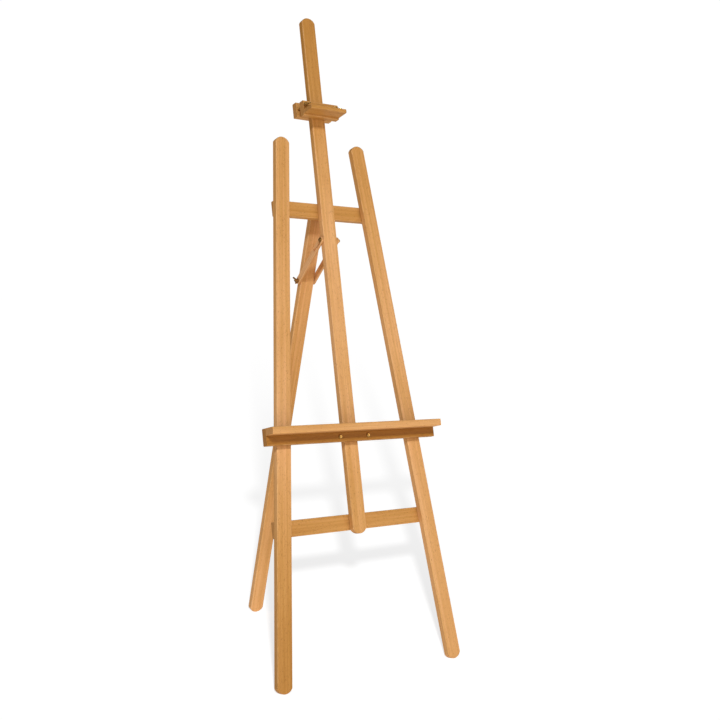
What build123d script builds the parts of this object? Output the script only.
"""Wooden artist easel of the lyre kind: two splayed legs and a central mast leaning back,
a hinged rear leg with two stays, a sliding canvas tray and a sliding canvas holder.
Millimetres, +Z up, the front faces -Y, the origin is under the middle of the easel."""
from math import atan2, cos, degrees, hypot, radians, sin
import os

from build123d import *

os.makedirs("parts", exist_ok=True)

# ---------------------------------------------------------------- timber stock
STOCK_W = 45.0          # width of the beech stock
STOCK_T = 20.0          # thickness of the beech stock
EDGE_R = 2.6            # rounding along the grain
END_R = 0.8             # broken edge on a sawn end
LEG_L = 1550.0          # front legs, tip to tip
MAST_L = 1545.0
TIP_RISE = 14.8         # how far a stick's rounded tip stands out
TIP_R = 2.8             # rounding where a tip meets the sides

# ---------------------------------------------------------------- leaning frame
LEAN = 13.5             # the frame leans back from the vertical
FOOT_HALF = 285.0       # half the spacing of the front feet
SPLAY = 5.77            # each front leg leans inwards
FOOT_Y = -333.835       # back face of the frame at floor level
FOOT_Z = -0.4144        # keeps the rounded feet just on the floor
MAST_BOTTOM = 388.0     # along the frame, from the feet to the mast's lower tip
LOW_BAR_V = 422.0       # centre line of the bottom crossbar
TOP_BAR_V = 1332.0      # centre line of the top crossbar
LOW_BAR_L = 520.0
TOP_BAR_L = 331.0

# ---------------------------------------------------------------- rear leg and its hinge
HINGE_V = 1349.0        # hinge pin, measured along the frame
HINGE_GAP = 2.6         # pin axis behind the top crossbar
OPEN_ANGLE = 27.6       # between the frame and the rear leg
REAR_TOP = 4.0          # the leg's top end below the pin
REAR_L = 1347.835       # from the pin to the rounded foot
LEAF_W = 36.0
LEAF_H = 22.0
LEAF_T = 1.5
KNUCKLE_R = 2.5
KNUCKLE_L = 12.0
KNUCKLE_GAP = 0.2
KNUCKLE_CLEAR = 2.8     # a leaf's plate starts this far below the pin axis
PIN_R = 1.2
HINGE_SCREW_U = 11.0
HINGE_SCREW_DOWN = 13.0

# ---------------------------------------------------------------- stays
STAY_V = 1241.7         # pivot of the stays on the mast
STAY_W = 20.0
STAY_T = 6.0
STAY_GAP = 1.0          # spacing washer between a stay and the wood
STAY_RATIO = 0.37       # degrees a stay turns on the rear leg for each degree the leg turns
SLOT_CLEAR = 0.5        # side clearance of the pivot bolt in a stay's slot
LOCK_DOWN = 225.0       # lock bolt below the hinge pin, along the rear leg

# ---------------------------------------------------------------- tray
TRAY_V = 647.0          # lower edge of the tray's back board
TRAY_H = 48.0
TRAY_L = 568.0
SHELF_D = 40.0
SHELF_T = 20.0
TRAY_BOLT_V = 662.0
TRAY_BOLT_U = 47.0
TRAY_BAR_H = 20.0
TRAY_BAR_L = 130.0
TRAY_SCREW_U = (110.0, 262.0)

# ---------------------------------------------------------------- canvas holder
HOLDER_V = 1610.5       # lower edge of the holder's plate
HOLDER_H = 45.0
HOLDER_L = 122.0
LIP_UP = 4.5            # the lip's underside above the plate's lower edge
LIP_T = 12.0
LIP_D = 43.0
LIP_R = 2.5
HOLDER_BOLT_V = 1641.5
HOLDER_BOLT_U = 53.0
HOLDER_BAR_V = 1642.0
HOLDER_SCREW_U = 36.0

# ---------------------------------------------------------------- hardware
BOLT_R = 3.0
FIT = 0.05              # radial clearance of a bolt or screw in its hole
HEAD_R = 6.5
HEAD_H = 3.5
WASHER_R = 7.0
WASHER_T = 1.2
HUB_R = 5.6
HUB_TOP_R = 4.6
HUB_H = 7.0
WING_R = 13.8
WING_H = 12.0
WING_T = 2.4
WING_RISE = 1.5
DOME_R = 6.0
DOME_H = 6.5
WOOD_SCREW = (2.0, 4.0, 2.4, 32.0)      # shank radius, head radius, head height, length
LEAF_SCREW = (1.5, 2.6, 1.2, 14.0)
SCREW_SLOT = 0.8
SCREW_OFFSET = 9.0
MAST_SCREW_U = 12.0
MAST_SCREW_DOWN = 14.0
SOCKET_HEAD_R = 5.0
SOCKET_HEAD_H = 3.0
SOCKET_R = 2.4
DOME_DEPTH = 4.0        # thread taken up inside the cap nut
THREAD_END = 3.0        # bolt end showing past a wing nut
LOCK_NUT_TURN = 42.0
LEFT_NUT_TURN = 20.0

# ---------------------------------------------------------------- planes
frame_x = (1, 0, 0)
frame_up = (0, sin(radians(LEAN)), cos(radians(LEAN)))
frame_out = (0, -cos(radians(LEAN)), sin(radians(LEAN)))
FRAME = Plane(origin=(0, FOOT_Y, FOOT_Z), x_dir=frame_x, z_dir=frame_out)
HINGE = Plane(FRAME.location * Location((0, HINGE_V, -STOCK_T - HINGE_GAP)))
REAR = Plane(HINGE.location * Location((0, 0, 0), (OPEN_ANGLE, 0, 0)))
SIDE = STOCK_W / 2


def keep(builder, name):
    """Name a sub-part and write its STEP file."""
    builder.part.label = name
    export_step(builder.part, f"parts/{name}.step")


def on_frame(u, v, turn=0.0):
    """Plane on the back face of the frame's sticks, turned about its normal."""
    return Plane(FRAME.location * Location((u, v, 0), (0, 0, turn)))


def leg_u(v):
    """Centre line of the right leg at a height along the frame."""
    return FOOT_HALF - v * sin(radians(SPLAY)) / cos(radians(SPLAY))


def outline_edges(builder, normal):
    """Edges around the faces that lie across the given direction."""
    faces = builder.faces().sort_by(Axis((0, 0, 0), normal))
    return faces[0].edges() + faces[-1].edges()


def stick(plane, length):
    """Stick of the stock with both tips rounded, standing on the plane's X axis."""
    with BuildPart() as body:
        with BuildSketch(plane) as face:
            with BuildLine():
                Line((-SIDE, TIP_RISE), (-SIDE, length - TIP_RISE))
                ThreePointArc((-SIDE, length - TIP_RISE), (0, length), (SIDE, length - TIP_RISE))
                Line((SIDE, length - TIP_RISE), (SIDE, TIP_RISE))
                ThreePointArc((SIDE, TIP_RISE), (0, 0), (-SIDE, TIP_RISE))
            make_face()
            fillet(face.vertices(), TIP_R)
        extrude(amount=STOCK_T)
        fillet(outline_edges(body, plane.z_dir), EDGE_R)
    return body.part


def plank(plane, length, height, depth, round_r=EDGE_R):
    """Board centred on the plane, grain along its X axis, as thick as depth."""
    with BuildPart() as body:
        with BuildSketch(plane):
            Rectangle(length, height)
        extrude(amount=depth)
        fillet(body.edges().filter_by(Axis.X), round_r)
        ends = body.faces().sort_by(Axis.X)
        fillet(ends[0].edges() + ends[-1].edges(), END_R)
    return body.part


def round_holes(plane, points, radius, depth):
    """Straight round tools standing on a plane, for cutting or adding."""
    with BuildPart() as tools:
        with BuildSketch(plane):
            with Locations(*points):
                Circle(radius)
        extrude(amount=depth)
    return tools.part


def screw_tool(plane, points, size, extra):
    """Countersunk seats with shank holes, or the screws themselves when extra is zero."""
    shank, head, head_h, length = size
    with BuildPart() as tools:
        with Locations(plane):
            with Locations(*points):
                Cylinder(shank + extra, length + extra, align=(Align.CENTER, Align.CENTER, Align.MIN))
                Cone(head + extra, shank + extra, head_h, align=(Align.CENTER, Align.CENTER, Align.MIN))
    return tools.part


def screws(plane, points, size):
    """Countersunk wood screws with a cross recess, heads flush with the plane."""
    with BuildPart() as body:
        add(screw_tool(plane, points, size, 0.0))
        recess = size[1]
        with Locations(plane):
            with Locations(*points):
                Box(recess, SCREW_SLOT, SCREW_SLOT * 2, mode=Mode.SUBTRACT)
                Box(SCREW_SLOT, recess, SCREW_SLOT * 2, mode=Mode.SUBTRACT)
    return body


def washers(planes, radius=WASHER_R, thickness=WASHER_T):
    """Flat washers standing on the given planes."""
    with BuildPart() as body:
        with Locations(*planes):
            Cylinder(radius, thickness, align=(Align.CENTER, Align.CENTER, Align.MIN))
            Cylinder(BOLT_R + FIT, thickness, align=(Align.CENTER, Align.CENTER, Align.MIN),
                     mode=Mode.SUBTRACT)
    return body


def domed_bolt(planes, length):
    """Bolts with a low domed head: the head sits on the plane, the shank goes below it."""
    with BuildPart() as body:
        with Locations(*planes):
            Cylinder(BOLT_R, length, align=(Align.CENTER, Align.CENTER, Align.MAX))
            Cylinder(HEAD_R, HEAD_H, align=(Align.CENTER, Align.CENTER, Align.MIN))
        rims = body.edges().group_by(Axis(planes[0].origin, planes[0].z_dir))[-1]
        fillet(rims, HEAD_H - 0.4)
    return body


def wing_nut(plane):
    """Wing nut standing on the plane, its wings along the plane's X axis."""
    with BuildPart() as body:
        with Locations(plane):
            Cone(HUB_R, HUB_TOP_R, HUB_H, align=(Align.CENTER, Align.CENTER, Align.MIN))
        across = Plane(plane.location * Location((0, 0, 0), (90, 0, 0)))
        with BuildSketch(across):
            with BuildLine():
                Polyline((0, WING_RISE), (HUB_R, WING_RISE), (WING_R - 1, WING_H - 5),
                         (WING_R, WING_H - 1.5), (WING_R - 3.5, WING_H), (WING_R - 7.5, WING_H - 2.5),
                         (HUB_TOP_R, HUB_H - 0.5), (0, HUB_H - 0.5), (0, WING_RISE))
            make_face()
            mirror(about=Plane.YZ)
        extrude(amount=WING_T / 2, both=True)
        tips = body.edges().filter_by(Axis((0, 0, 0), across.z_dir))
        fillet(tips.filter_by(lambda edge: edge.center().sub(plane.origin).dot(plane.z_dir) > HUB_H), 1.2)
        with Locations(plane):
            Cylinder(BOLT_R + FIT, HUB_H, align=(Align.CENTER, Align.CENTER, Align.MIN),
                     mode=Mode.SUBTRACT)
    return body


# ---------------------------------------------------------------- where the fasteners go
def bar_screw_points(bar_v, mast_points):
    """Two screws into each leg on a diagonal, and two into the mast."""
    leg = leg_u(bar_v)
    near = leg - SCREW_OFFSET
    far = leg + SCREW_OFFSET
    points = []
    for side in (-1, 1):
        points.append((side * near, bar_v + SCREW_OFFSET, 0))
        points.append((side * far, bar_v - SCREW_OFFSET, 0))
    return points + mast_points


BAR_BACK = FRAME.offset(-STOCK_T)
top_mast_screws = [(side * MAST_SCREW_U, TOP_BAR_V - MAST_SCREW_DOWN, 0) for side in (-1, 1)]
low_mast_screws = [(side * SCREW_OFFSET, LOW_BAR_V + side * SCREW_OFFSET, 0) for side in (-1, 1)]
top_screw_points = bar_screw_points(TOP_BAR_V, top_mast_screws)
low_screw_points = bar_screw_points(LOW_BAR_V, low_mast_screws)
leaf_screw_points = [(-HINGE_SCREW_U, -HINGE_SCREW_DOWN, 0), (HINGE_SCREW_U, -HINGE_SCREW_DOWN, 0)]
leaf_screw_mirrored = [(-HINGE_SCREW_U, HINGE_SCREW_DOWN, 0), (HINGE_SCREW_U, HINGE_SCREW_DOWN, 0)]
FRAME_LEAF = Plane(HINGE.location * Location((0, 0, HINGE_GAP - LEAF_T)))
REAR_LEAF = Plane(REAR.location * Location((0, 0, LEAF_T - HINGE_GAP), (180, 0, 0)))
tray_bolt_points = [(-TRAY_BOLT_U, TRAY_BOLT_V), (TRAY_BOLT_U, TRAY_BOLT_V)]
holder_bolt_points = [(-HOLDER_BOLT_U, HOLDER_BOLT_V), (HOLDER_BOLT_U, HOLDER_BOLT_V)]
tray_screw_v = TRAY_V + TRAY_H - SHELF_T / 2
tray_screw_points = [(side * u, tray_screw_v, 0) for side in (-1, 1) for u in TRAY_SCREW_U]
holder_screw_v = HOLDER_V + LIP_UP + LIP_T / 2
holder_screw_points = [(side * HOLDER_SCREW_U, holder_screw_v, 0) for side in (-1, 1)]
PIVOT = Plane(FRAME.location * Location((0, STAY_V, STOCK_T / 2)))
LOCK = Plane(REAR.location * Location((0, -LOCK_DOWN, -HINGE_GAP - STOCK_T / 2)))


def sideways(centre, x, facing):
    """Plane across the easel's width at a distance from the middle, facing left or right."""
    return Plane(origin=(x, centre.origin.Y, centre.origin.Z), x_dir=(0, 0, 1), z_dir=(facing, 0, 0))


def forward(u, v, w):
    """Plane facing out of the front of the frame."""
    return Plane(FRAME.location * Location((u, v, w)))


def backward(u, v, w, turn=0.0):
    """Plane facing out of the back of the frame."""
    return Plane(FRAME.location * Location((u, v, w)) * Location((0, 0, 0), (180, 0, turn)))


# ---------------------------------------------------------------- front frame
def front_leg(side):
    foot = on_frame(side * FOOT_HALF, 0, side * SPLAY)
    with BuildPart() as leg:
        add(stick(foot, LEG_L))
        add(screw_tool(BAR_BACK, top_screw_points, WOOD_SCREW, FIT), mode=Mode.SUBTRACT)
        add(screw_tool(BAR_BACK, low_screw_points, WOOD_SCREW, FIT), mode=Mode.SUBTRACT)
    return leg


keep(front_leg(-1), "left_leg")
keep(front_leg(1), "right_leg")

with BuildPart() as mast:
    add(stick(on_frame(0, MAST_BOTTOM), MAST_L))
    add(screw_tool(BAR_BACK, top_screw_points, WOOD_SCREW, FIT), mode=Mode.SUBTRACT)
    add(screw_tool(BAR_BACK, low_screw_points, WOOD_SCREW, FIT), mode=Mode.SUBTRACT)
    pivot_side = sideways(PIVOT, -SIDE, 1)
    add(round_holes(pivot_side, [(0, 0)], BOLT_R + FIT, STOCK_W), mode=Mode.SUBTRACT)
keep(mast, "mast")

with BuildPart() as top_crossbar:
    add(plank(forward(0, TOP_BAR_V, -STOCK_T), TOP_BAR_L, STOCK_W, STOCK_T))
    add(screw_tool(BAR_BACK, top_screw_points, WOOD_SCREW, FIT), mode=Mode.SUBTRACT)
    add(screw_tool(FRAME_LEAF, leaf_screw_points, LEAF_SCREW, FIT), mode=Mode.SUBTRACT)
keep(top_crossbar, "top_crossbar")

with BuildPart() as bottom_crossbar:
    add(plank(forward(0, LOW_BAR_V, -STOCK_T), LOW_BAR_L, STOCK_W, STOCK_T))
    add(screw_tool(BAR_BACK, low_screw_points, WOOD_SCREW, FIT), mode=Mode.SUBTRACT)
keep(bottom_crossbar, "bottom_crossbar")

keep(screws(BAR_BACK, top_screw_points, WOOD_SCREW), "top_crossbar_screws")
keep(screws(BAR_BACK, low_screw_points, WOOD_SCREW), "bottom_crossbar_screws")


# ---------------------------------------------------------------- rear leg and hinge
with BuildPart() as rear_leg:
    with BuildSketch(REAR.offset(-HINGE_GAP - STOCK_T)) as rear_face:
        with BuildLine():
            foot_v = TIP_RISE - REAR_L
            Polyline((-SIDE, foot_v), (-SIDE, -REAR_TOP), (SIDE, -REAR_TOP), (SIDE, foot_v))
            ThreePointArc((SIDE, foot_v), (0, -REAR_L), (-SIDE, foot_v))
        make_face()
        fillet(rear_face.vertices(), TIP_R)
    extrude(amount=STOCK_T)
    fillet(outline_edges(rear_leg, REAR.z_dir), EDGE_R)
    lock_side = sideways(LOCK, -SIDE, 1)
    add(round_holes(lock_side, [(0, 0)], BOLT_R + FIT, STOCK_W), mode=Mode.SUBTRACT)
    add(screw_tool(REAR_LEAF, leaf_screw_mirrored, LEAF_SCREW, FIT), mode=Mode.SUBTRACT)
keep(rear_leg, "rear_leg")


def hinge_leaf(plane, face_w, knuckles):
    """Leaf standing off the pin axis, with its knuckles given as (middle, length) pairs."""
    with BuildPart() as leaf:
        with BuildSketch(plane.offset(face_w)):
            with Locations((0, -(LEAF_H + KNUCKLE_CLEAR) / 2)):
                Rectangle(LEAF_W, LEAF_H - KNUCKLE_CLEAR)
            for middle, length in knuckles:
                with Locations((middle, -KNUCKLE_CLEAR / 2)):
                    Rectangle(length, KNUCKLE_CLEAR)
        extrude(amount=LEAF_T)
        with Locations(plane):
            for middle, length in knuckles:
                with Locations(Location((middle, 0, 0), (0, 90, 0))):
                    Cylinder(KNUCKLE_R, length)
            with Locations(Location((0, 0, 0), (0, 90, 0))):
                Cylinder(PIN_R + FIT, LEAF_W, mode=Mode.SUBTRACT)
    return leaf


with BuildPart() as hinge_leaf_frame:
    add(hinge_leaf(HINGE, HINGE_GAP - LEAF_T, [(0, KNUCKLE_L)]).part)
    add(screw_tool(FRAME_LEAF, leaf_screw_points, LEAF_SCREW, FIT), mode=Mode.SUBTRACT)
keep(hinge_leaf_frame, "hinge_leaf_frame")

outer_knuckle_l = (LEAF_W - KNUCKLE_L) / 2 - KNUCKLE_GAP
outer_knuckle_u = (LEAF_W - outer_knuckle_l) / 2
with BuildPart() as hinge_leaf_rear:
    outer_knuckles = [(-outer_knuckle_u, outer_knuckle_l), (outer_knuckle_u, outer_knuckle_l)]
    add(hinge_leaf(REAR, -HINGE_GAP, outer_knuckles).part)
    add(screw_tool(REAR_LEAF, leaf_screw_mirrored, LEAF_SCREW, FIT), mode=Mode.SUBTRACT)
keep(hinge_leaf_rear, "hinge_leaf_rear")

with BuildPart() as hinge_pin:
    with Locations(HINGE):
        with Locations(Location((0, 0, 0), (0, 90, 0))):
            Cylinder(PIN_R, LEAF_W)
    fillet(hinge_pin.edges().filter_by(GeomType.CIRCLE), PIN_R / 3)
keep(hinge_pin, "hinge_pin")
keep(screws(FRAME_LEAF, leaf_screw_points, LEAF_SCREW), "hinge_screws_frame")
keep(screws(REAR_LEAF, leaf_screw_mirrored, LEAF_SCREW), "hinge_screws_rear")


# ---------------------------------------------------------------- stays
def turned(point, centre, angle):
    """Turn a (y, z) point about a centre, positive from +Y towards +Z."""
    y = point[0] - centre[0]
    z = point[1] - centre[1]
    c = cos(radians(angle))
    s = sin(radians(angle))
    return (centre[0] + y * c - z * s, centre[1] + y * s + z * c)


pivot_yz = (PIVOT.origin.Y, PIVOT.origin.Z)
lock_yz = (LOCK.origin.Y, LOCK.origin.Z)
hinge_yz = (HINGE.origin.Y, HINGE.origin.Z)
stay_l = hypot(lock_yz[0] - pivot_yz[0], lock_yz[1] - pivot_yz[1])
stay_turn = degrees(atan2(lock_yz[1] - pivot_yz[1], lock_yz[0] - pivot_yz[0]))


def slot_point(fold):
    """Where the pivot bolt sits in the stay after the rear leg has folded by an angle."""
    on_leg = turned(pivot_yz, hinge_yz, fold)
    on_stay = turned(on_leg, lock_yz, STAY_RATIO * fold)
    along_stay = turned(on_stay, pivot_yz, -stay_turn)
    return (along_stay[0] - pivot_yz[0], along_stay[1] - pivot_yz[1])


def stay(x):
    """Flat stay with a hole for the lock bolt and a curved slot for the pivot bolt on the mast."""
    along = (0, cos(radians(stay_turn)), sin(radians(stay_turn)))
    flat = Plane(origin=(x, pivot_yz[0], pivot_yz[1]), x_dir=along, z_dir=(1, 0, 0))
    with BuildPart() as body:
        with BuildSketch(flat):
            with Locations((stay_l / 2, 0)):
                SlotCenterToCenter(stay_l, STAY_W)
            with Locations((stay_l, 0)):
                Circle(BOLT_R + FIT, mode=Mode.SUBTRACT)
            with BuildLine() as path:
                ThreePointArc(slot_point(0), slot_point(OPEN_ANGLE / 2), slot_point(OPEN_ANGLE))
            SlotArc(path.edges()[0], 2 * (BOLT_R + SLOT_CLEAR), mode=Mode.SUBTRACT)
        extrude(amount=STAY_T)
        fillet(outline_edges(body, (1, 0, 0)).filter_by(GeomType.LINE), 1.0)
    return body


stay_in = SIDE + STAY_GAP
stay_out = stay_in + STAY_T
nut_seat = stay_out + WASHER_T
keep(stay(-stay_out), "stay_left")
keep(stay(stay_in), "stay_right")


def stay_washers(centre):
    """Spacing washers against the wood and flat washers outside both stays."""
    with BuildPart() as rings:
        for side in (-1, 1):
            add(washers([sideways(centre, side * SIDE, side)], WASHER_R, STAY_GAP).part)
            add(washers([sideways(centre, side * stay_out, side)]).part)
    return rings


keep(stay_washers(PIVOT), "stay_pivot_washers")
keep(stay_washers(LOCK), "stay_lock_washers")

with BuildPart() as stay_pivot_bolt:
    with Locations(sideways(PIVOT, -nut_seat, -1)):
        Cylinder(BOLT_R, 2 * nut_seat + DOME_DEPTH, align=(Align.CENTER, Align.CENTER, Align.MAX))
        Cylinder(SOCKET_HEAD_R, SOCKET_HEAD_H, align=(Align.CENTER, Align.CENTER, Align.MIN))
    fillet(stay_pivot_bolt.edges().group_by(Axis.X)[0], 0.6)
    with BuildSketch(sideways(PIVOT, -nut_seat - SOCKET_HEAD_H, 1)):
        RegularPolygon(SOCKET_R, 6)
    extrude(amount=SOCKET_HEAD_H - 0.5, mode=Mode.SUBTRACT)
keep(stay_pivot_bolt, "stay_pivot_bolt")

with BuildPart() as stay_pivot_nut:
    with BuildSketch(sideways(PIVOT, nut_seat, 1)):
        RegularPolygon(DOME_R, 6)
    extrude(amount=DOME_H / 2)
    with Locations(sideways(PIVOT, nut_seat, 1)):
        Cylinder(DOME_R - 1, DOME_H, align=(Align.CENTER, Align.CENTER, Align.MIN))
    fillet(stay_pivot_nut.edges().group_by(Axis.X)[-1], DOME_H / 2 - 0.4)
    with Locations(sideways(PIVOT, nut_seat, 1)):
        Cylinder(BOLT_R + FIT, DOME_DEPTH, align=(Align.CENTER, Align.CENTER, Align.MIN), mode=Mode.SUBTRACT)
keep(stay_pivot_nut, "stay_pivot_nut")

lock_l = 2 * nut_seat + HUB_H + THREAD_END
keep(domed_bolt([sideways(LOCK, nut_seat, 1)], lock_l), "stay_lock_bolt")
lock_nut_seat = sideways(LOCK, -nut_seat, -1).location * Location((0, 0, 0), (0, 0, LOCK_NUT_TURN))
keep(wing_nut(Plane(lock_nut_seat)), "stay_lock_wing_nut")


# ---------------------------------------------------------------- tray
def bolt_holes(points, w, depth):
    return round_holes(FRAME.offset(w), points, BOLT_R + FIT, depth)


with BuildPart() as tray_back_board:
    add(plank(forward(0, TRAY_V + TRAY_H / 2, STOCK_T), TRAY_L, TRAY_H, STOCK_T))
    add(bolt_holes(tray_bolt_points, STOCK_T, STOCK_T), mode=Mode.SUBTRACT)
    add(screw_tool(FRAME.offset(STOCK_T), tray_screw_points, WOOD_SCREW, FIT), mode=Mode.SUBTRACT)
keep(tray_back_board, "tray_back_board")

with BuildPart() as tray_shelf:
    shelf_v = TRAY_V + TRAY_H - SHELF_T / 2
    shelf_plane = Plane(FRAME.location * Location((0, shelf_v, 2 * STOCK_T)))
    with BuildSketch(shelf_plane):
        Rectangle(TRAY_L, SHELF_T)
    extrude(amount=SHELF_D)
    shelf_front = tray_shelf.faces().sort_by(Axis((0, 0, 0), FRAME.z_dir))[-1]
    fillet(shelf_front.edges().filter_by(Axis.X), EDGE_R)
    shelf_ends = tray_shelf.faces().sort_by(Axis.X)
    fillet(shelf_ends[0].edges() + shelf_ends[-1].edges(), END_R)
    add(screw_tool(FRAME.offset(STOCK_T), tray_screw_points, WOOD_SCREW, FIT), mode=Mode.SUBTRACT)
keep(tray_shelf, "tray_shelf")
keep(screws(FRAME.offset(STOCK_T), tray_screw_points, WOOD_SCREW), "tray_screws")

with BuildPart() as tray_clamp_bar:
    add(plank(forward(0, TRAY_BOLT_V, -STOCK_T), TRAY_BAR_L, TRAY_BAR_H, STOCK_T))
    add(bolt_holes(tray_bolt_points, -STOCK_T, STOCK_T), mode=Mode.SUBTRACT)
keep(tray_clamp_bar, "tray_clamp_bar")

clamp_l = 3 * STOCK_T + WASHER_T + HUB_H + THREAD_END
keep(domed_bolt([forward(u, v, 2 * STOCK_T) for u, v in tray_bolt_points], clamp_l), "tray_bolts")
keep(washers([backward(u, v, -STOCK_T) for u, v in tray_bolt_points]), "tray_washers")
tray_nut_w = -STOCK_T - WASHER_T
keep(wing_nut(backward(-TRAY_BOLT_U, TRAY_BOLT_V, tray_nut_w)), "tray_wing_nut_left")
keep(wing_nut(backward(TRAY_BOLT_U, TRAY_BOLT_V, tray_nut_w)), "tray_wing_nut_right")


# ---------------------------------------------------------------- canvas holder
with BuildPart() as holder_plate:
    add(plank(forward(0, HOLDER_V + HOLDER_H / 2, STOCK_T), HOLDER_L, HOLDER_H, STOCK_T))
    add(bolt_holes(holder_bolt_points, STOCK_T, STOCK_T), mode=Mode.SUBTRACT)
    add(screw_tool(FRAME.offset(STOCK_T), holder_screw_points, WOOD_SCREW, FIT), mode=Mode.SUBTRACT)
keep(holder_plate, "holder_plate")

with BuildPart() as holder_lip:
    lip_plane = Plane(FRAME.location * Location((0, holder_screw_v, 2 * STOCK_T)))
    with BuildSketch(lip_plane):
        Rectangle(HOLDER_L, LIP_T)
    extrude(amount=LIP_D)
    lip_front = holder_lip.faces().sort_by(Axis((0, 0, 0), FRAME.z_dir))[-1]
    fillet(lip_front.edges().filter_by(Axis.X), LIP_R)
    lip_ends = holder_lip.faces().sort_by(Axis.X)
    fillet(lip_ends[0].edges() + lip_ends[-1].edges(), END_R)
    add(screw_tool(FRAME.offset(STOCK_T), holder_screw_points, WOOD_SCREW, FIT), mode=Mode.SUBTRACT)
keep(holder_lip, "holder_lip")
keep(screws(FRAME.offset(STOCK_T), holder_screw_points, WOOD_SCREW), "holder_screws")

with BuildPart() as holder_clamp_bar:
    add(plank(forward(0, HOLDER_BAR_V, -STOCK_T), HOLDER_L, STOCK_W, STOCK_T))
    add(bolt_holes(holder_bolt_points, -STOCK_T, STOCK_T), mode=Mode.SUBTRACT)
keep(holder_clamp_bar, "holder_clamp_bar")

keep(domed_bolt([backward(u, v, -STOCK_T) for u, v in holder_bolt_points], clamp_l), "holder_bolts")
keep(washers([forward(u, v, 2 * STOCK_T) for u, v in holder_bolt_points]), "holder_washers")
holder_nut_w = 2 * STOCK_T + WASHER_T
left_nut_seat = forward(-HOLDER_BOLT_U, HOLDER_BOLT_V, holder_nut_w).location
left_nut = Plane(left_nut_seat * Location((0, 0, 0), (0, 0, LEFT_NUT_TURN)))
keep(wing_nut(left_nut), "holder_wing_nut_left")
keep(wing_nut(forward(HOLDER_BOLT_U, HOLDER_BOLT_V, holder_nut_w)), "holder_wing_nut_right")
